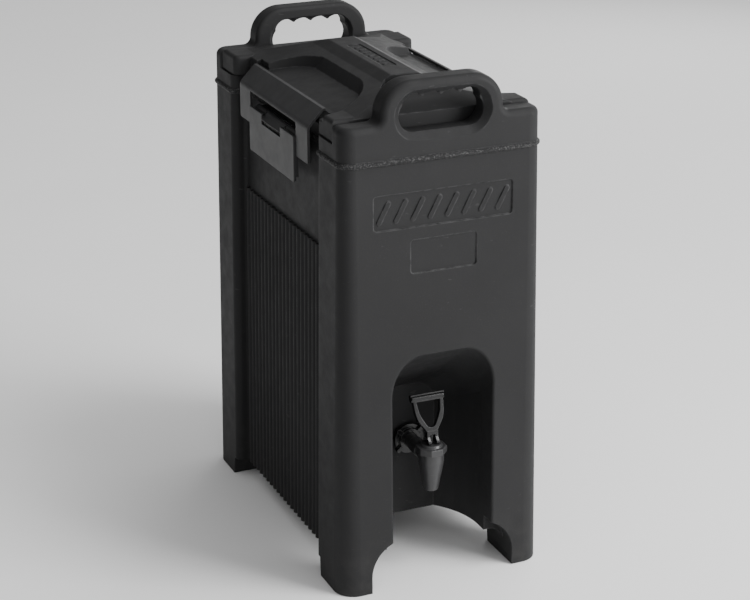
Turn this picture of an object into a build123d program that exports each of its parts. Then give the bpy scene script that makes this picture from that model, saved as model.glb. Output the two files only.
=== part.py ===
from build123d import *
from math import atan2, cos, degrees, radians, sin, tan
import os

# Driving dimensions, millimetres.  +Z up, front faces -Y, origin at the bottom centre.
BODY_W = 263            # width of the foot print at the floor
BODY_D = 443            # depth of the foot print at the floor
CORNER_R = 25           # vertical corner radius at the floor
DRAFT = 0.87            # draft of every moulded outer wall, degrees
TOP_Z = 616             # top of the carry handles
WALL_Z = 569            # top of the two end walls
SEAT_Z = 547            # seat on which the lid lies
END_Y = 182             # inner face of the end walls
BEAD_Z = 527            # moulding bead round the body
BEAD_R = 2.75

PANEL_INSET = 18        # side panels lie this deep behind the pilasters
PANEL_Y = 140           # half length of a side panel
PANEL_BOTTOM = 24
PILASTER_R = 9          # rounding of the pilasters beside the panels
RIB_TOP = 404
RIB_PITCH = 12.3
RIB_COUNT = 22
RIB_R = 4.6
PAD_X = 106.5             # upright pad behind each latch bracket

LEG_X = 92            # inner edge of a leg seen from the front
LEG_Y = 156             # inner edge of a leg seen from the side
LEG_ARC_Z = 20
FRONT_ARC_R = 44        # taller arch at the very front of the legs
FRONT_ARC_DEPTH = 22
BELLY_Z = 42            # underside of the body

RECESS_X = 64           # spigot recess
RECESS_TOP = 293
RECESS_R = 38
RECESS_BEND_Y = 186.5
RECESS_BACK_Y = 114.5
RECESS_FLAT_X = 36
RECESS_BACK_TOP = 212

TANK_X = 80             # tank interior
TANK_REAR = 171
TANK_FRONT = -166
TANK_LOW_FRONT = -86.5
TANK_FLOOR = 118
TANK_R = 14
LINER_T = 3
FOAM_T = 17
CAVITY_TOP = 541
SKIN_T = 10

HANDLE_X = 75           # carry handles
HANDLE_R = 38
HANDLE_FOOT_R = 9
GRIP_X = 33.5
GRIP_R = 18.5
GRIP_Z = 574.5
FINGER_PITCH = 23
FINGER_R = 13
FINGER_Z = 588

LID_X = 99.5              # lid
LID_Y = 181.6
LEDGE_Z = 563.5
LEDGE_IN = 93.5
NOTCH_Y = 114.5
EAR_X = 121
EAR_Y = 136
EAR_GAP = 1.5
EAR_TOP = 572
SCOOP_IN = 50
SCOOP_OUT = 120
SCOOP_YS = (-152, -60, 25, 92)
PLUG_GAP = 3
PLUG_BOTTOM = 524
GASKET_T = 3
VENT_Y = -121
VENT_FLOOR = 581
VENT_R = 6.3

A_X, A_Z = 115.5, 524     # latch lever hinge
B_X, B_Z = 115.5, 506     # latch bail hinge
PIN_R = 2
PIN_BORE = 2.05
KNUCKLE_R = 4.8
PLATE_T = 3
BAIL_X = 123.5
BAIL_Y = 112
WINDOW_Y = 76
LEVER_X = 126
LEVER_Y = 74
LEVER_BOTTOM = 471.5
BASE_X = 109.5
SCREW_YS = (-51, -17, 17, 51)

TAP_Y = -185            # faucet
TAP_Z = 143
SHANK_R = 9
BORE_R = 6
SHANK_START = 66.5
SEAL_T = 4
CHAMBER_R = 9.5
SPOUT_Z = 104
SEAT_TAP_Z = 118
BONNET_Z = 153
BONNET_TOP = 164
TAP_PIN_Z = 171
STEM_R = 3
LOOP_TOP = 225
LOOP_FOOT = 180
LOOP_LEAN = -20

os.makedirs("parts", exist_ok=True)
SLOPE = tan(radians(DRAFT))
SEAM_Z = BEAD_Z - BEAD_R     # the shell sections meet under the bead
CAVITY_X = TANK_X + LINER_T + FOAM_T


def save(shape, name):
    shape.label = name
    export_step(shape, f"parts/{name}.step")


def wall_x(z):
    """Half width of the drafted body at height z."""
    return BODY_W / 2 - SLOPE * z


def wall_y(z):
    """Half depth of the drafted body at height z."""
    return BODY_D / 2 - SLOPE * z


def quarter(cx, cz, radius, start, end):
    """Arc round (cx, cz) from angle start to angle end, degrees."""
    at = [(cx + radius * cos(radians(a)), cz + radius * sin(radians(a)))
          for a in (start, (start + end) / 2, end)]
    return ThreePointArc(*at)


def recess_form(grow):
    """Spigot recess, grown outward into the body by grow."""
    half, flat, back = RECESS_X + grow, RECESS_FLAT_X + grow, -RECESS_BACK_Y + grow
    bulge = ((half + flat) / 2 + 7, (-RECESS_BEND_Y + back) / 2 + 3)
    front = -BODY_D / 2 - 5
    with BuildPart() as form:
        with BuildSketch(Plane.XY):
            with BuildLine():
                Polyline((0, back), (flat, back))
                ThreePointArc((flat, back), bulge, (half, -RECESS_BEND_Y))
                Polyline((half, -RECESS_BEND_Y), (half, front), (0, front))
                mirror(about=Plane.YZ)
            make_face()
        extrude(amount=RECESS_TOP + 30)
        with BuildSketch(Plane.YZ):
            slope = (RECESS_TOP - RECESS_BACK_TOP) / (wall_y(RECESS_TOP) - RECESS_BACK_Y)
            rise = slope * (-front - wall_y(RECESS_TOP))
            Polygon((front, -10), (front, RECESS_TOP + rise + grow),
                    (back, RECESS_BACK_TOP - slope * grow + grow), (back, -10), align=None)
        extrude(amount=half + 5, both=True, mode=Mode.INTERSECT)
        top = form.edges().filter_by(lambda e: e.center().Z > RECESS_BACK_TOP - 20
                                     and e.center().Y > front + 1 and abs(e.center().X) > 1
                                     and e.bounding_box().size.Y > 20)
        fillet(top, RECESS_R)
    return form.part


def tank_form(grow, top):
    """Tank interior, grown outward by grow and cut level at top."""
    length = TANK_REAR - TANK_FRONT + 2 * grow
    centre = (TANK_REAR + TANK_FRONT) / 2
    with BuildPart() as form:
        with BuildSketch(Plane.YZ):
            Polygon((TANK_LOW_FRONT, TANK_FLOOR), (TANK_LOW_FRONT, 222), (TANK_FRONT, 284),
                    (TANK_FRONT, 700), (TANK_REAR, 700), (TANK_REAR, TANK_FLOOR), align=None)
            offset(amount=grow, kind=Kind.INTERSECTION)
        extrude(amount=TANK_X + grow, both=True)
        with BuildSketch(Plane.XY):
            with Locations((0, centre)):
                RectangleRounded(2 * (TANK_X + grow), length, TANK_R + grow)
        extrude(amount=top, mode=Mode.INTERSECT)
    return form.part


def foam_cavity():
    """Room between the outer skin and the tank, filled with foam."""
    depth = wall_y(CAVITY_TOP) - SKIN_T
    low = TANK_FLOOR - LINER_T - FOAM_T
    with BuildPart() as cavity:
        add(tank_form(LINER_T + FOAM_T, CAVITY_TOP))
        add(slab((-CAVITY_X, CAVITY_X), (0, depth), (low, CAVITY_TOP)))
        add(slab((-CAVITY_X, CAVITY_X), (-depth, 0), (RECESS_TOP + FOAM_T, CAVITY_TOP)))
        add(slab((-TANK_X, TANK_X), (-40, PANEL_Y - SKIN_T), (BELLY_Z + SKIN_T, TANK_FLOOR)))
        add(recess_form(6), mode=Mode.SUBTRACT)
    return cavity.part


def handle_blank():
    """Area above the end walls that is not carry handle."""
    foot, crown = HANDLE_X + HANDLE_FOOT_R, TOP_Z - HANDLE_R
    with BuildSketch(Plane.XZ) as blank:
        with BuildLine():
            Polyline((BODY_W, WALL_Z), (foot, WALL_Z))
            quarter(foot, WALL_Z + HANDLE_FOOT_R, HANDLE_FOOT_R, 270, 180)
            quarter(HANDLE_X - HANDLE_R, crown, HANDLE_R, 0, 90)
            Polyline((HANDLE_X - HANDLE_R, TOP_Z), (0, TOP_Z), (0, TOP_Z + 20),
                     (BODY_W, TOP_Z + 20), (BODY_W, WALL_Z))
        make_face()
        mirror(about=Plane.YZ)
    return blank.sketch


def grip_hole():
    """Outline of the hand hole with four finger scallops."""
    with BuildSketch(Plane.XZ) as hole:
        with Locations((0, GRIP_Z)):
            SlotOverall(2 * (GRIP_X + GRIP_R), 2 * GRIP_R)
        with GridLocations(FINGER_PITCH, 1, 4, 1):
            with Locations((0, FINGER_Z)):
                Circle(FINGER_R)
        fillet(hole.vertices().filter_by(lambda v: v.Z > FINGER_Z or v.Y > FINGER_Z), 2.5)
    return hole.sketch


def grip_bevels():
    """Bevelled mouths of the two hand holes, on both faces of each handle."""
    with BuildPart() as bevels:
        for face, depth in ((wall_y(GRIP_Z) + 0.5, -8.5), (END_Y - 0.5, 5)):
            for y, grow in ((face, abs(depth)), (face + depth, 0)):
                with BuildSketch(Plane.XZ.offset(y)):
                    with Locations((0, GRIP_Z + 2.5)):
                        SlotOverall(2 * (GRIP_X + GRIP_R + grow), 2 * (GRIP_R + 2.5 + grow))
            loft()
        mirror(about=Plane.XZ)
    return bevels.part


def side_panels():
    """Space outside the two recessed side panels."""
    with BuildPart() as space:
        with BuildSketch(Plane.XZ):
            for side in (-1, 1):
                Polygon((side * (wall_x(-10) - PANEL_INSET), -10),
                        (side * (wall_x(TOP_Z) - PANEL_INSET), TOP_Z),
                        (side * BODY_W, TOP_Z), (side * BODY_W, -10), align=None)
        extrude(amount=PANEL_Y, both=True)
    return space.part


def leg_gaps():
    """Space between the legs and under the belly."""
    with BuildPart() as gaps:
        with BuildSketch(Plane.YZ):
            Polygon((-LEG_Y, -10), (-LEG_Y + 4, PANEL_BOTTOM), (LEG_Y - 4, PANEL_BOTTOM),
                    (LEG_Y, -10), align=None)
        extrude(amount=BODY_W, both=True)
        with BuildSketch(Plane.XZ):
            with BuildLine():
                arc_r = BELLY_Z - LEG_ARC_Z
                Polyline((0, -10), (LEG_X, -10), (LEG_X, LEG_ARC_Z))
                quarter(LEG_X - arc_r, LEG_ARC_Z, arc_r, 0, 90)
                Polyline((LEG_X - arc_r, BELLY_Z), (0, BELLY_Z))
                mirror(about=Plane.YZ)
            make_face()
        extrude(amount=BODY_D, both=True)
        with BuildSketch(Plane.XZ.offset(BODY_D / 2 - FRONT_ARC_DEPTH)):
            with BuildLine():
                arc_x = LEG_X - FRONT_ARC_R
                rise = FRONT_ARC_R * sin(radians(68))
                Polyline((0, -10), (LEG_X, -10), (LEG_X, LEG_ARC_Z))
                quarter(arc_x, LEG_ARC_Z, FRONT_ARC_R, 0, 68)
                Polyline((arc_x + FRONT_ARC_R * cos(radians(68)), LEG_ARC_Z + rise),
                         (0, LEG_ARC_Z + rise))
                mirror(about=Plane.YZ)
            make_face()
        extrude(amount=BODY_D)
    return gaps.part


def brand_band():
    """Shallow recesses in the front face: a plain band with ridges and a label field."""
    with BuildPart() as marks:
        for width, height, middle, depth in ((172, 41, 469, 1.6), (82, 40, 413.5, 1.1)):
            with BuildSketch(Plane.XZ.offset(wall_y(middle) - depth)):
                with Locations((0, middle)):
                    RectangleRounded(width, height, 4)
            extrude(amount=20)
        with BuildSketch(Plane.XZ.offset(wall_y(469) - 3)):
            with Locations((0, 469)):
                with GridLocations(21, 1, 8, 1):
                    SlotOverall(30, 6, rotation=62)
        extrude(amount=2.6, mode=Mode.SUBTRACT)
    return marks.part


def ribs():
    """Upright round ribs on both side panels, leaning with the draft."""
    with BuildPart() as bars:
        for side in (-1, 1):
            foot = side * (wall_x(PANEL_BOTTOM) - PANEL_INSET)
            with BuildSketch(Plane((foot, 0, PANEL_BOTTOM), x_dir=(0, 1, 0), z_dir=(-side * SLOPE, 0, 1))):
                with GridLocations(RIB_PITCH, 1, RIB_COUNT, 1):
                    Circle(RIB_R)
            extrude(amount=RIB_TOP - PANEL_BOTTOM)
    return bars.part


def bead_ring():
    """Moulding bead round both ends of the body, wrapped round the pilasters."""
    half_x = wall_x(BEAD_Z) + BEAD_R
    with BuildPart() as ring:
        with BuildSketch(Plane.XY.offset(BEAD_Z - BEAD_R)) as outline:
            RectangleRounded(2 * half_x, 2 * (wall_y(BEAD_Z) + BEAD_R), 20)
            with Locations((half_x, 0), (-half_x, 0)):
                Rectangle(2 * (PANEL_INSET + 2 * BEAD_R), 2 * (PANEL_Y - BEAD_R), mode=Mode.SUBTRACT)
            corners = outline.vertices().filter_by(lambda v: abs(v.X) > half_x - 1 and abs(v.Y) < PANEL_Y)
            fillet(corners, PILASTER_R + BEAD_R)
        extrude(amount=2 * BEAD_R)
        fillet(ring.edges().filter_by(Axis.Z, reverse=True), BEAD_R - 0.1)
    return ring.part


def build_shell():
    with BuildPart() as shell:
        with BuildSketch(Plane.XY):
            RectangleRounded(BODY_W, BODY_D, CORNER_R)
        extrude(amount=TOP_Z, taper=DRAFT)
        add(side_panels(), mode=Mode.SUBTRACT)
        uprights = shell.edges().filter_by(lambda e: abs(abs(e.center().Y) - PANEL_Y) < 0.1
                                           and e.bounding_box().size.Z > 100)
        middle = BODY_W / 2 - PANEL_INSET / 2 - SLOPE * TOP_Z / 2
        fillet(uprights.filter_by(lambda e: abs(e.center().X) > middle), PILASTER_R)
        inner = shell.edges().filter_by(lambda e: abs(abs(e.center().Y) - PANEL_Y) < 0.1
                                        and e.bounding_box().size.Z > 100
                                        and abs(e.center().X) < middle)
        fillet(inner, 5)
        add(bead_ring())
        with BuildSketch(Plane.XY.offset(SEAT_Z)):
            Rectangle(BODY_W, 2 * END_Y)
        extrude(amount=TOP_Z, mode=Mode.SUBTRACT)
        with BuildSketch(Plane.XZ):
            add(handle_blank())
        extrude(amount=BODY_D, both=True, mode=Mode.SUBTRACT)
        with BuildSketch(Plane.XZ):
            add(grip_hole())
        extrude(amount=BODY_D, both=True, mode=Mode.SUBTRACT)
        add(grip_bevels(), mode=Mode.SUBTRACT)
        for outer, radius in ((True, 8), (False, 5)):
            crest = shell.edges().filter_by(lambda e: e.center().Z > WALL_Z - 1
                                            and e.bounding_box().size.Y < 2
                                            and (abs(e.center().X) > 60 or e.center().Z > TOP_Z - 2)
                                            and (abs(e.center().Y) > END_Y + 9) == outer)
            fillet(crest, radius)
        add(leg_gaps(), mode=Mode.SUBTRACT)
        add(recess_form(0), mode=Mode.SUBTRACT)
        mouth = shell.edges().filter_by(lambda e: abs(e.center().Y + wall_y(e.center().Z)) < 4
                                        and abs(e.center().X) < RECESS_X + 1
                                        and LEG_ARC_Z + 45 < e.center().Z < RECESS_TOP + 2)
        fillet(mouth, 3)
        add(ribs())
        add(brand_band(), mode=Mode.SUBTRACT)
        for side in (-1, 1):
            add(slab(sorted((side * (PAD_X - 8), side * PAD_X)), (-75, 75), (493, 539)))
        for y in SCREW_YS:
            add(screw_at(y, 0), mode=Mode.SUBTRACT)
            add(mirror(screw_at(y, 0), about=Plane.YZ), mode=Mode.SUBTRACT)
        add(foam_cavity(), mode=Mode.SUBTRACT)
        add(tank_form(LINER_T, SEAT_Z + 30), mode=Mode.SUBTRACT)
    return drill_shank(shell.part)


def drill_shank(part):
    """The same part with the faucet hole through it along Y."""
    with BuildPart() as drilled:
        add(part)
        with BuildSketch(Plane.XZ.offset(SHANK_START)):
            with Locations((0, TAP_Z)):
                Circle(SHANK_R + 0.4)
        extrude(amount=60, mode=Mode.SUBTRACT)
    return drilled.part


def share_of(part, x_range, y_range, z_range):
    """The share of a part that lies inside a block."""
    with BuildPart() as share:
        add(part)
        add(slab(x_range, y_range, z_range), mode=Mode.INTERSECT)
    return share.part


def build_liner():
    with BuildPart() as liner:
        add(tank_form(LINER_T, SEAT_Z))
        add(tank_form(0, SEAT_Z + 20), mode=Mode.SUBTRACT)
    return drill_shank(liner.part)


def build_foam():
    with BuildPart() as foam:
        add(foam_cavity())
        add(tank_form(LINER_T, SEAT_Z), mode=Mode.SUBTRACT)
    return drill_shank(foam.part)


def plug_form(inset, low, high):
    """Block that fills the tank's mouth, drawn in by inset, between two heights."""
    with BuildPart() as form:
        with BuildSketch(Plane.XY.offset(low)):
            with Locations((0, (TANK_REAR + TANK_FRONT) / 2)):
                RectangleRounded(2 * (TANK_X - inset), TANK_REAR - TANK_FRONT - 2 * inset, TANK_R - inset)
        extrude(amount=high - low)
        with Locations((0, VENT_Y, low)):
            Cylinder(VENT_R, 90, mode=Mode.SUBTRACT)
    return form.part


def build_lid_foam():
    """Foam slab inside the lid's tray, clear of the vent tube."""
    with BuildPart() as room:
        add(plug_form(PLUG_GAP + 5, PLUG_BOTTOM + 5, SEAT_Z))
        with Locations((0, VENT_Y, SEAT_Z)):
            Cylinder(VENT_R + 5, 90, mode=Mode.SUBTRACT)
    return room.part


def build_lid_tray():
    """Tray under the lid that plugs the tank's mouth."""
    with BuildPart() as tray:
        add(plug_form(PLUG_GAP, PLUG_BOTTOM, SEAT_Z))
        add(build_lid_foam(), mode=Mode.SUBTRACT)
    return tray.part


def scoops():
    """Hand scoops in the flanks of the lid, over a flat latch ledge."""
    with BuildPart() as cut:
        front, low, high, rear = SCOOP_YS
        for side in (-1, 1):
            edge, out = side * SCOOP_IN, side * SCOOP_OUT
            with BuildSketch(Plane.XY.offset(LEDGE_Z)):
                with BuildLine():
                    TangentArc((edge, high), (out, rear), tangent=(0, 1))
                    Polyline((out, rear), (out, front))
                    TangentArc((edge, low), (out, front), tangent=(0, -1))
                    Line((edge, low), (edge, high))
                make_face()
            extrude(amount=60, taper=-24)
        with BuildSketch(Plane.XZ):
            with BuildLine():
                Polyline((LEDGE_IN, LEDGE_Z), (50, LEDGE_Z + 8), (30, LEDGE_Z + 40),
                         (140, LEDGE_Z + 40), (140, LEDGE_Z), (LEDGE_IN, LEDGE_Z))
            make_face()
            mirror(about=Plane.YZ)
        extrude(amount=LID_Y, both=True, mode=Mode.INTERSECT)
        for low in (-LID_X - 9, LEDGE_IN):
            add(slab((low, low + LID_X + 9 - LEDGE_IN), (-NOTCH_Y, NOTCH_Y), (LEDGE_Z, TOP_Z)))
    return cut.part


def lid_roof():
    """Crowned middle of the lid with its long spine."""
    with BuildPart() as roof:
        with BuildSketch(Plane.XZ) as section:
            Polygon((-LID_X, SEAT_Z), (-LID_X, 570), (-58, 581.5), (-30, 588.5), (-17, 595.5),
                    (17, 595.5), (30, 588.5), (58, 581.5), (LID_X, 570), (LID_X, SEAT_Z), align=None)
            fillet(section.vertices().filter_by(lambda v: 10 < abs(v.X) < 40), 5)
        extrude(amount=LID_Y, both=True)
        with BuildSketch(Plane.YZ) as side:
            Polygon((-LID_Y, SEAT_Z), (-LID_Y, 571), (-162, 579), (-147, 597), (82, 597),
                    (144, 576), (LID_Y, 571), (LID_Y, SEAT_Z), align=None)
            fillet(side.vertices().sort_by(Axis.Y)[4:6], 20)
        extrude(amount=BODY_W, both=True, mode=Mode.INTERSECT)
    return roof.part


def build_lid():
    with BuildPart() as lid:
        add(lid_roof())
        for side in (-1, 1):
            with BuildPart(mode=Mode.PRIVATE) as ear:
                with BuildSketch(Plane.XY.offset(SEAT_Z + EAR_GAP)):
                    with Locations((0, side * (LID_Y + EAR_Y) / 2)):
                        Rectangle(2 * EAR_X, LID_Y - EAR_Y)
                extrude(amount=EAR_TOP - SEAT_Z - EAR_GAP, taper=DRAFT)
                nose = ear.edges().filter_by(lambda e: e.bounding_box().size.Z > 10
                                             and abs(e.center().Y) < (EAR_Y + LID_Y) / 2)
                fillet(nose, 8)
                fillet(ear.faces().sort_by(Axis.Z)[-1].edges(), 5)
            add(ear.part)
        add(scoops(), mode=Mode.SUBTRACT)
        with BuildSketch(Plane.XY.offset(VENT_FLOOR)):
            Polygon((-37, VENT_Y), (-25, VENT_Y + 15.5), (25, VENT_Y + 15.5), (37, VENT_Y),
                    (25, VENT_Y - 15.5), (-25, VENT_Y - 15.5), align=None)
        extrude(amount=40, mode=Mode.SUBTRACT)
        with BuildSketch(Plane.XY.offset(594.5)):
            with Locations((0, -9.5)):
                RectangleRounded(17, 112, 3)
                with GridLocations(1, 14, 1, 7):
                    SlotOverall(11, 4, rotation=30, mode=Mode.SUBTRACT)
        extrude(amount=20, mode=Mode.SUBTRACT)
        add(build_gasket(), mode=Mode.SUBTRACT)
        with Locations((0, VENT_Y, SEAT_Z)):
            Cylinder(VENT_R, 120, mode=Mode.SUBTRACT)
    return lid.part


def build_gasket():
    with BuildPart() as gasket:
        with BuildSketch(Plane.XY.offset(SEAT_Z)):
            with Locations((0, (TANK_REAR + TANK_FRONT) / 2)):
                RectangleRounded(2 * TANK_X + 16, TANK_REAR - TANK_FRONT + 16, TANK_R + 8)
                RectangleRounded(2 * TANK_X, TANK_REAR - TANK_FRONT, TANK_R, mode=Mode.SUBTRACT)
        extrude(amount=GASKET_T)
    return gasket.part


def build_vent_cap():
    with BuildPart() as cap:
        with BuildSketch(Plane.XY.offset(VENT_FLOOR + 2)):
            with Locations((0, VENT_Y)):
                Circle(13)
                with PolarLocations(13.4, 16):
                    Circle(1.6, mode=Mode.SUBTRACT)
        extrude(amount=9)
        fillet(cap.edges().group_by(Axis.Z)[-1], 0.9)
        with BuildSketch(Plane.XY.offset(VENT_FLOOR + 11)):
            with Locations((0, VENT_Y)):
                SlotOverall(21, 5)
        extrude(amount=4)
        with BuildSketch(Plane.XY.offset(VENT_FLOOR + 2)):
            with Locations((0, VENT_Y)):
                Circle(VENT_R - 0.3)
        extrude(amount=-34)
    return cap.part


def washer(outer, inner, thick, near_y):
    """Flat ring round the faucet shank, from near_y towards -Y."""
    with BuildPart() as ring:
        with BuildSketch(Plane.XZ.offset(-near_y)):
            with Locations((0, TAP_Z)):
                Circle(outer)
                Circle(inner, mode=Mode.SUBTRACT)
        extrude(amount=thick)
    return ring.part


def build_vent_seal():
    with BuildPart() as seal:
        with BuildSketch(Plane.XY.offset(VENT_FLOOR)):
            with Locations((0, VENT_Y)):
                Circle(11)
                Circle(VENT_R, mode=Mode.SUBTRACT)
        extrude(amount=2)
    return seal.part


def rod(x, z, radius, near_y, length):
    """Round bar along Y from near_y."""
    with BuildPart() as bar:
        with BuildSketch(Plane.XZ.offset(-near_y)):
            with Locations((x, z)):
                Circle(radius)
        extrude(amount=-length)
    return bar.part


def slab(x_range, y_range, z_range):
    """Square block between the given limits."""
    with BuildPart() as block:
        with Locations((sum(x_range) / 2, sum(y_range) / 2, sum(z_range) / 2)):
            Box(x_range[1] - x_range[0], y_range[1] - y_range[0], z_range[1] - z_range[0])
    return block.part


def build_bracket():
    """Latch bracket for the right side; the left one is its mirror image."""
    with BuildPart() as bracket:
        add(slab((PAD_X, BASE_X), (-68, 68), (504, 527)))
        for low in (-68, 34):
            add(slab((BASE_X - 1, A_X), (low, low + 34), (A_Z - 3, A_Z + 3)))
            add(rod(A_X, A_Z, KNUCKLE_R, low, 34))
        add(rod(A_X, A_Z, PIN_R, -69, 138), mode=Mode.SUBTRACT)
        for y in SCREW_YS:
            add(screw_at(y, 0.15), mode=Mode.SUBTRACT)
    return bracket.part


def screw_at(y, grow):
    """Countersunk screw through the bracket, along X."""
    with BuildPart() as screw:
        with BuildSketch(Plane((0, y, 511), x_dir=(1, 0, 0), z_dir=(0, -1, 0))):
            Polygon((BASE_X - 0.3 + grow, 0), (BASE_X - 0.3 + grow, 4 + grow), (PAD_X + 0.6, 2 + grow),
                    (PAD_X - 4, 2 + grow), (PAD_X - 5, 0), align=None)
        revolve(axis=Axis((0, y, 511), (1, 0, 0)))
    return screw.part


def build_screws():
    with BuildPart() as screws:
        for y in SCREW_YS:
            add(screw_at(y, 0))
    return screws.part


def build_lever():
    with BuildPart() as lever:
        add(slab((LEVER_X - PLATE_T, LEVER_X), (-LEVER_Y, LEVER_Y), (LEVER_BOTTOM, A_Z + 3)))
        corners = lever.edges().filter_by(Axis.X)
        fillet(corners, 3)
        fillet(lever.faces().sort_by(Axis.X)[-1].edges(), 0.8)
        add(slab((A_X, LEVER_X - 1), (-31, 31), (A_Z - 2.5, A_Z + 3)))
        add(rod(A_X, A_Z, KNUCKLE_R, -31, 62))
        add(slab((LEVER_X - 8, LEVER_X + 4), (-31, 31), (514.5, 519.5)), mode=Mode.SUBTRACT)
        with BuildSketch(Plane.XZ):
            Polygon((LEVER_X, 520), (LEVER_X + 2, 520), (LEVER_X + 2, 530), (LEVER_X - 9.3, 530), align=None)
        extrude(amount=31, both=True, mode=Mode.SUBTRACT)
        for low in (-LEVER_Y, LEVER_Y - 4):
            add(slab((B_X, LEVER_X - 1), (low, low + 4), (B_Z - 5, B_Z + 5)))
            add(rod(B_X, B_Z, 5, low, 4))
            add(slab((LEVER_X - 6, LEVER_X - 2), (low, low + 2.5), (LEVER_BOTTOM + 6, A_Z - 3)))
        add(rod(A_X, A_Z, PIN_BORE, -40, 80), mode=Mode.SUBTRACT)
        add(rod(B_X, B_Z, PIN_R, -80, 160), mode=Mode.SUBTRACT)
    return lever.part


def build_bail():
    inner = BAIL_X - PLATE_T
    hook = LID_X + 1
    with BuildPart() as bail:
        with BuildSketch(Plane.XZ):
            Polygon((BAIL_X, 504), (BAIL_X, 547), (hook + 3.6, 567.2), (hook, 567.2), (hook, 564.3),
                    (hook + 2.4, 564.3), (inner, 545.8), (inner, 504), align=None)
        extrude(amount=BAIL_Y, both=True)
        for bend, radius in ((547, 10), (545.8, 7)):
            fillet(bail.edges().filter_by(lambda e: abs(e.center().Z - bend) < 0.1
                                          and e.bounding_box().size.Y > 100), radius)
        add(slab((90, 130), (-WINDOW_Y, WINDOW_Y), (490, 544)), mode=Mode.SUBTRACT)
        corners = bail.edges().filter_by(lambda e: e.center().Z < 546 and e.bounding_box().size.Y < 0.1
                                         and e.bounding_box().size.Z < 0.1)
        fillet(corners, 2)
        for low in (-WINDOW_Y - 4, WINDOW_Y):
            add(slab((B_X, inner + 1), (low, low + 4), (B_Z - 2, B_Z + 5)))
            add(rod(B_X, B_Z, 5, low, 4))
        add(rod(B_X, B_Z, PIN_BORE, -85, 170), mode=Mode.SUBTRACT)
    return bail.part


def build_bail_pins():
    with BuildPart() as pins:
        for low in (-82, 69):
            add(rod(B_X, B_Z, PIN_R, low, 13))
        for low in (-83.5, 82):
            add(rod(B_X, B_Z, 3.4, low, 1.5))
    return pins.part


def build_lever_pin():
    with BuildPart() as pin:
        add(rod(A_X, A_Z, PIN_R, -69, 138))
        add(rod(A_X, A_Z, 3.2, -70.2, 1.2))
        add(rod(A_X, A_Z, 3.2, 69, 1.2))
    return pin.part


def build_tap_body():
    """Shank, valve chamber and tapered spout of the faucet."""
    with BuildPart() as tap:
        with BuildSketch(Plane.YZ):
            with BuildLine():
                Polyline((TAP_Y, SPOUT_Z), (TAP_Y + 8.5, SPOUT_Z), (TAP_Y + 15.3, 141))
                Polyline((TAP_Y + 15.3, 141), (TAP_Y + 15.3, BONNET_Z), (TAP_Y, BONNET_Z), (TAP_Y, SPOUT_Z))
            make_face()
        revolve(axis=Axis((0, TAP_Y, 0), (0, 0, 1)))
        fillet(tap.edges().group_by(Axis.Z)[0], 1.2)
        with BuildSketch(Plane.XZ.offset(SHANK_START)):
            with Locations((0, TAP_Z)):
                Circle(SHANK_R)
        extrude(amount=-TAP_Y - SHANK_START)
        with BuildSketch(Plane.XZ.offset(RECESS_BACK_Y + 25)):
            with Locations((0, TAP_Z)):
                Circle(SHANK_R + 0.9)
        extrude(amount=18)
        with BuildSketch(Plane.YZ):
            with BuildLine():
                Polyline((TAP_Y, SPOUT_Z - 5), (TAP_Y + 6.5, SPOUT_Z - 5), (TAP_Y + 6.5, SEAT_TAP_Z),
                         (TAP_Y + CHAMBER_R, SEAT_TAP_Z), (TAP_Y + CHAMBER_R, BONNET_Z + 5),
                         (TAP_Y, BONNET_Z + 5), (TAP_Y, SPOUT_Z - 5))
            make_face()
        revolve(axis=Axis((0, TAP_Y, 0), (0, 0, 1)), mode=Mode.SUBTRACT)
        with BuildSketch(Plane.XZ.offset(SHANK_START - 5)):
            with Locations((0, TAP_Z)):
                Circle(BORE_R)
        extrude(amount=5 - TAP_Y - SHANK_START, mode=Mode.SUBTRACT)
    return tap.part


def build_tap_flange():
    near = RECESS_BACK_Y + SEAL_T
    with BuildPart() as flange:
        add(washer(19, SHANK_R, 3.5, -near))
        add(washer(14, SHANK_R, 8, -near))
        for angle in (40, 140, 220, 320):
            with BuildSketch(Plane.XZ.offset(near)):
                with Locations((16.5 * cos(radians(angle)), TAP_Z + 16.5 * sin(radians(angle)))):
                    SlotOverall(12, 5, rotation=angle)
            extrude(amount=7)
    return flange.part


def build_lock_nut():
    with BuildPart() as nut:
        with BuildSketch(Plane.XZ.offset(-TANK_LOW_FRONT - GASKET_T - 10)):
            with Locations((0, TAP_Z)):
                RegularPolygon(18, 6)
                Circle(SHANK_R, mode=Mode.SUBTRACT)
        extrude(amount=10)
    return nut.part


def build_bonnet():
    with BuildPart() as bonnet:
        with BuildSketch(Plane.XY.offset(BONNET_Z)):
            with Locations((0, TAP_Y)):
                RegularPolygon(18.6, 8, rotation=22.5)
        extrude(amount=8)
        fillet(bonnet.faces().sort_by(Axis.Z)[-1].edges(), 1)
        with BuildSketch(Plane.XY.offset(BONNET_Z + 8)):
            with Locations((0, TAP_Y)):
                Circle(13.5)
        extrude(amount=BONNET_TOP - BONNET_Z - 8, taper=25)
        with BuildSketch(Plane.XY.offset(BONNET_Z)):
            with Locations((0, TAP_Y)):
                Circle(CHAMBER_R)
        extrude(amount=-4)
        with Locations((0, TAP_Y, BONNET_Z)):
            Cylinder(STEM_R + 0.35, 60, mode=Mode.SUBTRACT)
    return bonnet.part


def build_stem():
    with BuildPart() as stem:
        with Locations((0, TAP_Y, SEAT_TAP_Z + 3)):
            Cylinder(STEM_R, TAP_PIN_Z - SEAT_TAP_Z + 1, align=(Align.CENTER, Align.CENTER, Align.MIN))
        with Locations((0, TAP_Y, SEAT_TAP_Z + 8)):
            Cylinder(6, 1.5, align=(Align.CENTER, Align.CENTER, Align.MIN))
        with Locations((0, TAP_Y, TAP_PIN_Z)):
            Cylinder(1.5, 20, rotation=(0, 90, 0), mode=Mode.SUBTRACT)
    return stem.part


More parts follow.
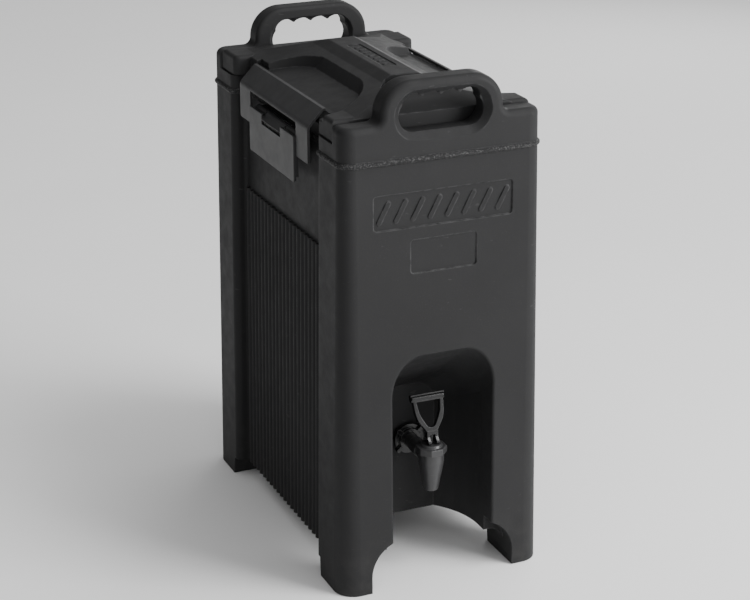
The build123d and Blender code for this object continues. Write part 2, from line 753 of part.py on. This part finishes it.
def build_seat_cup():
    with BuildPart() as cup:
        with BuildSketch(Plane.YZ):
            Polygon((TAP_Y, SEAT_TAP_Z), (TAP_Y + 8.6, SEAT_TAP_Z), (TAP_Y + 8.6, SEAT_TAP_Z + 3),
                    (TAP_Y + 5, SEAT_TAP_Z + 8), (TAP_Y, SEAT_TAP_Z + 8), align=None)
        revolve(axis=Axis((0, TAP_Y, 0), (0, 0, 1)))
        with Locations((0, TAP_Y, SEAT_TAP_Z + 3)):
            Cylinder(STEM_R, 20, align=(Align.CENTER, Align.CENTER, Align.MIN), mode=Mode.SUBTRACT)
    return cup.part


def build_spring():
    """Closing spring between the stem collar and the bonnet."""
    low = SEAT_TAP_Z + 10.2
    with BuildPart() as spring:
        with BuildLine() as coil:
            Helix(pitch=3, height=15, radius=5, center=(0, TAP_Y, low))
        with BuildSketch(Plane(origin=coil.line @ 0, z_dir=coil.line % 0)):
            Circle(0.6)
        sweep(path=coil.line, is_frenet=True)
    return spring.part


def handle_loop():
    """Flat open loop with a round grip across its top, upright over the origin."""
    with BuildPart() as loop:
        with BuildSketch(Plane.XZ):
            with BuildLine():
                Polyline((0, 174), (6.5, 174), (6.5, 178))
                Spline((6.5, 178), (15, 192), (19.5, LOOP_TOP - 8), tangents=((0.35, 1), (0.12, 1)))
                Polyline((19.5, LOOP_TOP - 8), (21.5, LOOP_TOP - 8), (21.5, LOOP_TOP), (0, LOOP_TOP))
                mirror(about=Plane.YZ)
            make_face()
            with BuildLine():
                Spline((0, 184), (7, 189), (12.5, 200), (15.5, LOOP_TOP - 9),
                       tangents=((1, 0), (0.12, 1)))
                Polyline((15.5, LOOP_TOP - 9), (0, LOOP_TOP - 9))
                mirror(about=Plane.YZ)
            make_face(mode=Mode.SUBTRACT)
        extrude(amount=3.2, both=True)
        with BuildPart(mode=Mode.PRIVATE) as grip:
            with Locations((0, 0, LOOP_TOP - 4.6)):
                Cylinder(4.6, 43.5, rotation=(0, 90, 0))
            fillet(grip.edges(), 2)
        add(grip.part)
    return loop.part


def build_tap_handle():
    """Loop handle leaning back over its forked neck and cam foot."""
    with BuildPart() as handle:
        add(handle_loop().rotate(Axis((0, 0, LOOP_FOOT), (1, 0, 0)), LOOP_LEAN))
        with BuildSketch(Plane.YZ):
            with Locations((0, TAP_PIN_Z)):
                Circle(4.6)
            with Locations((7 * cos(radians(210)), TAP_PIN_Z + 7 * sin(radians(210)))):
                Circle(3)
            make_hull()
            with Locations((0, (TAP_PIN_Z + 181) / 2)):
                Rectangle(8.4, 181 - TAP_PIN_Z)
        extrude(amount=7, both=True)
        with BuildSketch(Plane.XY.offset(150)):
            Rectangle(2 * STEM_R + 0.8, 30)
        extrude(amount=TAP_PIN_Z + 5.6 - 150, mode=Mode.SUBTRACT)
        with Locations((0, 0, TAP_PIN_Z)):
            Cylinder(1.55, 30, rotation=(0, 90, 0), mode=Mode.SUBTRACT)
    return Pos(0, TAP_Y, 0) * handle.part


def build_tap_pin():
    with BuildPart() as pin:
        with Locations((0, TAP_Y, TAP_PIN_Z)):
            Cylinder(1.5, 16, rotation=(0, 90, 0))
    return pin.part


# ---- pieces ----
shell = build_shell()
FAR = BODY_D
save(share_of(shell, (-FAR, FAR), (-FAR, -PANEL_Y), (0, SEAM_Z)), "shell_front")
save(share_of(shell, (-FAR, FAR), (PANEL_Y, FAR), (0, SEAM_Z)), "shell_rear")
save(share_of(shell, (-CAVITY_X, CAVITY_X), (-PANEL_Y, PANEL_Y), (0, SEAM_Z)), "shell_belly")
save(share_of(shell, (CAVITY_X, FAR), (-PANEL_Y, PANEL_Y), (0, SEAM_Z)), "side_panel_right")
save(share_of(shell, (-FAR, -CAVITY_X), (-PANEL_Y, PANEL_Y), (0, SEAM_Z)), "side_panel_left")
save(share_of(shell, (-FAR, FAR), (-FAR, FAR), (SEAM_Z, SEAT_Z)), "mouth_ring")
save(share_of(shell, (-FAR, FAR), (-FAR, 0), (SEAT_Z, FAR + TOP_Z)), "end_wall_front")
save(share_of(shell, (-FAR, FAR), (0, FAR), (SEAT_Z, FAR + TOP_Z)), "end_wall_rear")
save(build_foam(), "foam_core")
save(build_liner(), "inner_liner")
save(build_lid(), "lid_cover")
save(build_lid_tray(), "lid_tray")
save(build_lid_foam(), "lid_foam")
save(build_gasket(), "lid_gasket")
save(build_vent_cap(), "vent_cap")
save(build_vent_seal(), "vent_seal")

latch = {"bracket": build_bracket(), "screws": build_screws(), "lever": build_lever(),
         "lever_pin": build_lever_pin(), "bail": build_bail(), "bail_pins": build_bail_pins()}
for piece, shape in latch.items():
    save(shape, f"latch_right_{piece}")
    save(mirror(shape, about=Plane.YZ), f"latch_left_{piece}")

save(build_tap_body(), "faucet_body")
save(washer(17, SHANK_R, SEAL_T, -RECESS_BACK_Y), "faucet_gasket_outer")
save(washer(16, SHANK_R, GASKET_T, TANK_LOW_FRONT + GASKET_T), "faucet_gasket_inner")
save(build_tap_flange(), "faucet_flange")
save(build_lock_nut(), "faucet_lock_nut")
save(build_bonnet(), "faucet_bonnet")
save(build_stem(), "faucet_stem")
save(build_seat_cup(), "faucet_seat_cup")
save(build_spring(), "faucet_spring")
save(build_tap_handle(), "faucet_handle")
save(build_tap_pin(), "faucet_handle_pin")
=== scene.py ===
import bpy, math
from mathutils import Matrix, Vector

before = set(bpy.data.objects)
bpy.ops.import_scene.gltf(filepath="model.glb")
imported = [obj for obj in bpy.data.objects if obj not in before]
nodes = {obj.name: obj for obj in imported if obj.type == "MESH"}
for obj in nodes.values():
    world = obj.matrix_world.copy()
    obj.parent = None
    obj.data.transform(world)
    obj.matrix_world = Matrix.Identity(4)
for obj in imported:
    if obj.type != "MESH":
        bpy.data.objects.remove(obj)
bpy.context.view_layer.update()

BEAD_Z = 0.527              # middle of the moulding bead
SEAM_HEIGHTS = (0.547, 0.52425)   # level joints between the bonded shell sections
PANEL_EDGE_Y = 0.140        # upright joints beside the ribbed panels


# ---------------------------------------------------------------- shading
class Shader:
    """Small helper that builds one Principled material from nodes."""

    def __init__(self, name):
        self.mat = bpy.data.materials.new(name)
        self.mat.use_nodes = True
        self.tree = self.mat.node_tree
        self.bsdf = next(n for n in self.tree.nodes if n.type == "BSDF_PRINCIPLED")
        self.coord = self.add("ShaderNodeTexCoord").outputs["Object"]

    def add(self, kind, **settings):
        node = self.tree.nodes.new(kind)
        for key, value in settings.items():
            if key in node.inputs:
                node.inputs[key].default_value = value
            else:
                setattr(node, key, value)
        return node

    def link(self, a, b):
        self.tree.links.new(a, b)

    def put(self, **values):
        """Set plain values on the Principled shader."""
        for key, value in values.items():
            self.bsdf.inputs[key.replace("_", " ")].default_value = value

    def stretched(self, scale):
        """Object coordinates scaled along each axis."""
        mapping = self.add("ShaderNodeMapping")
        mapping.inputs["Scale"].default_value = scale
        self.link(self.coord, mapping.inputs["Vector"])
        return mapping.outputs["Vector"]

    def noise(self, scale, detail=3.0, rough=0.55, vector=None, distortion=0.0):
        tex = self.add("ShaderNodeTexNoise")
        tex.inputs["Scale"].default_value = scale
        tex.inputs["Detail"].default_value = detail
        tex.inputs["Roughness"].default_value = rough
        tex.inputs["Distortion"].default_value = distortion
        self.link(vector or self.coord, tex.inputs["Vector"])
        return tex.outputs["Fac"]

    def cells(self, scale, feature="F1"):
        """Distance to the nearest point of a cell pattern."""
        tex = self.add("ShaderNodeTexVoronoi", feature=feature)
        tex.inputs["Scale"].default_value = scale
        self.link(self.coord, tex.inputs["Vector"])
        return tex.outputs["Distance"]

    def remap(self, value, low, high, to_low=0.0, to_high=1.0):
        """Clamped linear map of a value."""
        node = self.add("ShaderNodeMapRange")
        node.inputs["From Min"].default_value = low
        node.inputs["From Max"].default_value = high
        node.inputs["To Min"].default_value = to_low
        node.inputs["To Max"].default_value = to_high
        self.link(value, node.inputs["Value"])
        return node.outputs["Result"]

    def math(self, operation, a, b=0.0):
        """Math node on numbers or sockets."""
        node = self.add("ShaderNodeMath", operation=operation)
        for socket, value in zip(node.inputs, (a, b)):
            if isinstance(value, (int, float)):
                socket.default_value = value
            else:
                self.link(value, socket)
        return node.outputs["Value"]

    def mix(self, factor, a, b):
        """Colour mix, a where the factor is 0."""
        node = self.add("ShaderNodeMix", data_type="RGBA")
        for socket, value in ((node.inputs[0], factor), (node.inputs[6], a), (node.inputs[7], b)):
            if isinstance(value, (int, float)):
                socket.default_value = value
            elif isinstance(value, tuple):
                socket.default_value = (*value, 1.0)
            else:
                self.link(value, socket)
        return node.outputs[2]

    def axis(self, letter):
        """One object coordinate."""
        split = self.add("ShaderNodeSeparateXYZ")
        self.link(self.coord, split.inputs["Vector"])
        return split.outputs[letter]

    def flat_normal(self):
        """Unaltered normal of the surface."""
        return self.add("ShaderNodeNewGeometry").outputs["Normal"]

    def rounded(self, radius):
        """Normal that turns softly over sharp corners."""
        bevel = self.add("ShaderNodeBevel", samples=6)
        bevel.inputs["Radius"].default_value = radius
        return bevel.outputs["Normal"]

    def blend(self, factor, a, b):
        """Vector mix, a where the factor is 0."""
        node = self.add("ShaderNodeMix", data_type="VECTOR")
        for socket, value in ((node.inputs[0], factor), (node.inputs[4], a), (node.inputs[5], b)):
            self.link(value, socket)
        return node.outputs[1]

    def beside(self, value, place, reach):
        """Falls from 1 to 0 as the value leaves the given place."""
        gap = self.math("ABSOLUTE", self.math("SUBTRACT", value, place))
        return self.remap(gap, reach, reach * 0.6)

    def edges(self, soft, low=0.996, high=0.93):
        """Bright where the softened normal leaves the surface normal."""
        dot = self.add("ShaderNodeVectorMath", operation="DOT_PRODUCT")
        self.link(soft, dot.inputs[0])
        self.link(self.flat_normal(), dot.inputs[1])
        return self.remap(dot.outputs["Value"], low, high)

    def bumps(self, *layers, normal=None):
        """Each layer is (height, strength, distance)."""
        for height, strength, distance in layers:
            node = self.add("ShaderNodeBump")
            node.inputs["Strength"].default_value = strength
            node.inputs["Distance"].default_value = distance
            self.link(height, node.inputs["Height"])
            if normal is not None:
                self.link(normal, node.inputs["Normal"])
            normal = node.outputs["Normal"]
        self.link(normal, self.bsdf.inputs["Normal"])

    def colour(self, value):
        self.link(value, self.bsdf.inputs["Base Color"])

    def roughness(self, value):
        self.link(value, self.bsdf.inputs["Roughness"])


def shell_joints(s, height):
    """Mask of the joints between bonded shell sections, where no edge is rounded."""
    low, high = SEAM_HEIGHTS[1], SEAM_HEIGHTS[0]
    level = s.math("MAXIMUM", s.beside(height, high, 0.004), s.beside(height, low, 0.0028))
    upright = s.math("MULTIPLY", s.beside(s.math("ABSOLUTE", s.axis("Y")), PANEL_EDGE_Y, 0.004),
                     s.remap(height, 0.528, 0.526))
    return s.math("MAXIMUM", level, upright)


def moulded_skin(name, tone, tone_light, rough=(0.46, 0.58)):
    """Rotomoulded polyethylene: orange-peel grain, soft clouds, rubbed edges, a rough bead with painted
    glints.
    """
    s = Shader(name)
    height = s.axis("Z")
    clouds = s.noise(4.0, 4, 0.55)
    specks = s.remap(s.noise(760, 2, 0.5), 0.60, 0.78)
    scuffs = s.remap(s.noise(210, 3, 0.5, vector=s.stretched((0.35, 0.35, 1.0))), 0.70, 0.74)
    base = s.mix(s.remap(clouds, 0.32, 0.68), tone, tone_light)
    base = s.mix(s.math("MULTIPLY", specks, 0.10), base, (0.10, 0.10, 0.10))
    low_dust = s.math("MULTIPLY", s.remap(height, 0.09, 0.0), s.remap(s.noise(60, 4, 0.6), 0.4, 0.7))
    base = s.mix(s.math("MULTIPLY", low_dust, 0.10), base, (0.13, 0.125, 0.115))
    base = s.mix(s.math("MULTIPLY", scuffs, 0.12), base, (0.14, 0.14, 0.14))
    soft = s.blend(shell_joints(s, height), s.rounded(0.0022), s.flat_normal())
    near = s.math("ABSOLUTE", s.math("SUBTRACT", height, BEAD_Z))
    on_bead = s.remap(near, 0.0042, 0.0026)
    rubbed = s.math("MULTIPLY", s.edges(soft), s.remap(s.noise(130, 3), 0.35, 0.62))
    base = s.mix(s.math("MULTIPLY", rubbed, 0.40), base, (0.11, 0.11, 0.112))
    # light grey specks on the bead are painted glints of its rough surface
    painted_glints = s.math("MULTIPLY", s.remap(s.noise(640, 2, 0.5), 0.52, 0.60), on_bead)
    base = s.mix(s.math("MULTIPLY", painted_glints, 0.45), base, (0.15, 0.15, 0.15))
    s.colour(base)
    s.put(Specular_IOR_Level=0.09)
    s.roughness(s.math("ADD", s.remap(s.noise(60, 4, 0.6), 0.3, 0.7, *rough),
                       s.math("MULTIPLY", scuffs, 0.12)))
    crust = s.math("MULTIPLY", s.noise(420, 4, 0.7), on_bead)
    s.bumps((s.noise(22, 2, 0.5), 0.22, 0.0008),
            (s.noise(430, 3, 0.6), 0.34, 0.00024),
            (s.cells(1300), 0.22, 0.00012),
            (crust, 1.0, 0.0022), normal=soft)
    return s.mat


def smooth_plastic(name, tone, tone_light, rough, grain=0.10, scratch=0.16, coat=0.0, shine=0.4):
    """Injection-moulded plastic with fine scratches and finger smears."""
    s = Shader(name)
    smear = s.noise(24, 4, 0.6, distortion=0.6)
    scratches = s.remap(s.noise(300, 2, 0.5,
                             vector=s.stretched((1.0, 1.0, 0.12)), distortion=0.5), 0.66, 0.72)
    hairs = s.remap(s.noise(240, 2, 0.5, vector=s.stretched((0.3, 0.10, 1.0)), distortion=0.5), 0.66, 0.72)
    marks = s.math("MULTIPLY", s.math("MAXIMUM", scratches, hairs), scratch)
    base = s.mix(s.remap(smear, 0.3, 0.72), tone, tone_light)
    base = s.mix(s.math("MULTIPLY", marks, 0.35), base, (0.22, 0.22, 0.22))
    soft = s.rounded(0.0009)
    base = s.mix(s.math("MULTIPLY", s.edges(soft), 0.2), base, (0.2, 0.2, 0.2))
    s.colour(base)
    wobble = s.remap(s.noise(45, 4, 0.6), 0.3, 0.7, rough[0], rough[1])
    s.roughness(s.math("ADD", wobble, s.math("MULTIPLY", marks, 0.25)))
    s.put(Coat_Weight=coat, Coat_Roughness=0.08, Specular_IOR_Level=shine)
    s.bumps((s.noise(14, 2), 0.15, 0.0004), (s.noise(1400, 2), grain, 0.00006),
            (s.math("MULTIPLY", marks, -1.0), 0.2, 0.00005), normal=soft)
    return s.mat


def brushed_metal(name):
    s = Shader(name)
    lines = s.noise(700, 3, 0.6, vector=s.stretched((1.0, 0.06, 1.0)))
    s.colour(s.mix(s.remap(lines, 0.35, 0.65), (0.42, 0.42, 0.43), (0.66, 0.66, 0.67)))
    s.put(Metallic=1.0)
    s.roughness(s.remap(lines, 0.3, 0.7, 0.22, 0.42))
    s.bumps((lines, 0.25, 0.00004), (s.noise(60, 3), 0.15, 0.0001))
    return s.mat


def rubber(name):
    s = Shader(name)
    dust = s.remap(s.noise(90, 5, 0.7), 0.45, 0.75)
    s.colour(s.mix(s.math("MULTIPLY", dust, 0.35), (0.022, 0.022, 0.022), (0.12, 0.115, 0.105)))
    s.roughness(s.remap(s.noise(50, 3), 0.3, 0.7, 0.6, 0.82))
    s.bumps((s.noise(900, 3), 0.3, 0.0001), (s.noise(70, 2), 0.2, 0.0003))
    return s.mat


def liner_plastic(name):
    """Off-white tank wall, faintly stained, darker near the bottom."""
    s = Shader(name)
    stain = s.remap(s.noise(9, 5, 0.62), 0.4, 0.75)
    rim = s.remap(s.axis("Z"), 0.20, 0.16)
    tone = s.mix(s.math("MULTIPLY", stain, 0.35), (0.46, 0.455, 0.43), (0.33, 0.31, 0.27))
    s.colour(s.mix(s.math("MULTIPLY", rim, 0.3), tone, (0.30, 0.26, 0.20)))
    s.roughness(s.remap(s.noise(40, 3), 0.3, 0.7, 0.32, 0.5))
    s.bumps((s.noise(420, 3), 0.22, 0.00012), (s.noise(18, 2), 0.3, 0.0006))
    return s.mat


def foam(name):
    """Coarse closed-cell insulation."""
    s = Shader(name)
    cell = s.cells(420)
    s.colour(s.mix(s.remap(cell, 0.1, 0.6), (0.42, 0.32, 0.14), (0.72, 0.60, 0.34)))
    s.roughness(s.remap(s.noise(80, 3), 0.3, 0.7, 0.75, 0.92))
    s.bumps((cell, 0.6, 0.0008), (s.noise(40, 4), 0.4, 0.001))
    return s.mat


SKIN = moulded_skin("moulded_skin", (0.0190, 0.0190, 0.0195), (0.0235, 0.0235, 0.0240))
LATCH = smooth_plastic("latch_plastic", (0.030, 0.030, 0.031), (0.038, 0.038, 0.039), (0.36, 0.46), shine=0.2)
TAP = smooth_plastic("tap_black", (0.004, 0.004, 0.0044), (0.007, 0.007, 0.0074), (0.16, 0.26),
                     grain=0.04, scratch=0.15, coat=0.2, shine=0.30)
TAP_GREY = smooth_plastic("tap_grey", (0.030, 0.030, 0.031), (0.040, 0.040, 0.041), (0.26, 0.36),
                          grain=0.05, shine=0.35)
STEEL = brushed_metal("brushed_steel")
SEAL = rubber("seal_rubber")
LINER = liner_plastic("liner_plastic")
FOAM = foam("foam_cells")

USES = {
    "shell_front": SKIN, "shell_rear": SKIN, "shell_belly": SKIN, "side_panel_left": SKIN,
    "side_panel_right": SKIN, "mouth_ring": SKIN, "end_wall_front": SKIN, "end_wall_rear": SKIN,
    "lid_cover": SKIN, "lid_tray": SKIN, "foam_core": FOAM, "lid_foam": FOAM,
    "inner_liner": LINER, "lid_gasket": SEAL, "vent_seal": SEAL, "vent_cap": LATCH,
    "faucet_body": TAP_GREY, "faucet_bonnet": TAP_GREY, "faucet_flange": TAP,
    "faucet_lock_nut": TAP, "faucet_handle": TAP, "faucet_stem": TAP,
    "faucet_spring": STEEL, "faucet_handle_pin": TAP, "faucet_seat_cup": SEAL,
    "faucet_gasket_outer": SEAL, "faucet_gasket_inner": SEAL,
}
for side in ("left", "right"):
    for piece in ("bracket", "lever", "bail"):
        USES[f"latch_{side}_{piece}"] = LATCH
    for piece in ("screws", "lever_pin", "bail_pins"):
        USES[f"latch_{side}_{piece}"] = STEEL
for name, material in USES.items():
    data = nodes[name].data
    data.materials.clear()
    data.materials.append(material)


# ---------------------------------------------------------------- studio
def new_mesh(name, verts, faces):
    """Mesh object made from points and faces."""
    data = bpy.data.meshes.new(name)
    data.from_pydata(verts, [], faces)
    data.update()
    thing = bpy.data.objects.new(name, data)
    bpy.context.scene.collection.objects.link(thing)
    return thing


def floor():
    """Plain pale ground sheet."""
    s = Shader("studio_floor")
    s.colour(s.mix(s.remap(s.noise(1.5, 3), 0.3, 0.7), (0.93, 0.93, 0.93), (0.95, 0.95, 0.95)))
    s.roughness(s.remap(s.noise(4, 3), 0.3, 0.7, 0.7, 0.85))
    s.bumps((s.noise(160, 3), 0.05, 0.0004))
    size = 30.0
    sheet = new_mesh("studio_floor", [(-size, -size, -0.0006), (size, -size, -0.0006),
                                      (size, size, -0.0006), (-size, size, -0.0006)], [(0, 1, 2, 3)])
    sheet.data.materials.append(s.mat)


def area_light(name, place, aim, size, power):
    """Rectangular lamp at a place, turned to its aim."""
    light = bpy.data.lights.new(name, "AREA")
    light.shape = "RECTANGLE"
    light.size, light.size_y = size
    light.energy = power
    lamp = bpy.data.objects.new(name, light)
    bpy.context.scene.collection.objects.link(lamp)
    lamp.location = place
    lamp.rotation_euler = (Vector(aim) - Vector(place)).to_track_quat("-Z", "Y").to_euler()


def studio():
    """Soft surround, dimmer on the left and behind, with one key, one top and one rear light."""
    world = bpy.data.worlds.new("studio")
    bpy.context.scene.world = world
    world.use_nodes = True
    tree = world.node_tree
    back = tree.nodes["Background"]
    back.inputs["Color"].default_value = (1, 1, 1, 1)
    place = tree.nodes.new("ShaderNodeTexCoord")
    toward = tree.nodes.new("ShaderNodeVectorMath")
    toward.operation = "DOT_PRODUCT"
    toward.inputs[1].default_value = (0.75, -0.50, 0.20)
    ramp = tree.nodes.new("ShaderNodeMapRange")
    for key, value in (("From Min", -0.7), ("From Max", 0.7), ("To Min", 0.10), ("To Max", 1.20)):
        ramp.inputs[key].default_value = value
    tree.links.new(place.outputs["Generated"], toward.inputs[0])
    tree.links.new(toward.outputs["Value"], ramp.inputs["Value"])
    tree.links.new(ramp.outputs["Result"], back.inputs["Strength"])
    middle = (0, 0, 0.3)
    area_light("key", (1.9, -2.1, 1.2), middle, (1.4, 1.8), 104)
    area_light("top", (1.0, -0.95, 2.9), middle, (0.9, 0.9), 36)
    area_light("back", (1.9, 2.3, 1.0), (0, 0, 0.55), (0.9, 0.6), 9)


def camera():
    """Fixed view from the front left and above."""
    data = bpy.data.cameras.new("view")
    data.lens = 96.5
    data.sensor_width = 36.0
    eye = bpy.data.objects.new("view", data)
    bpy.context.scene.collection.objects.link(eye)
    right = Vector((0.91826, -0.39594, -0.00342))
    up = Vector((0.14412, 0.32616, 0.93425))
    ahead = Vector((0.36879, 0.85839, -0.35657))
    turn = Matrix((right, up, -ahead)).transposed()
    eye.matrix_world = Matrix.Translation((-0.9175, -2.1528, 1.1739)) @ turn.to_4x4()
    bpy.context.scene.camera = eye


floor()
studio()
camera()
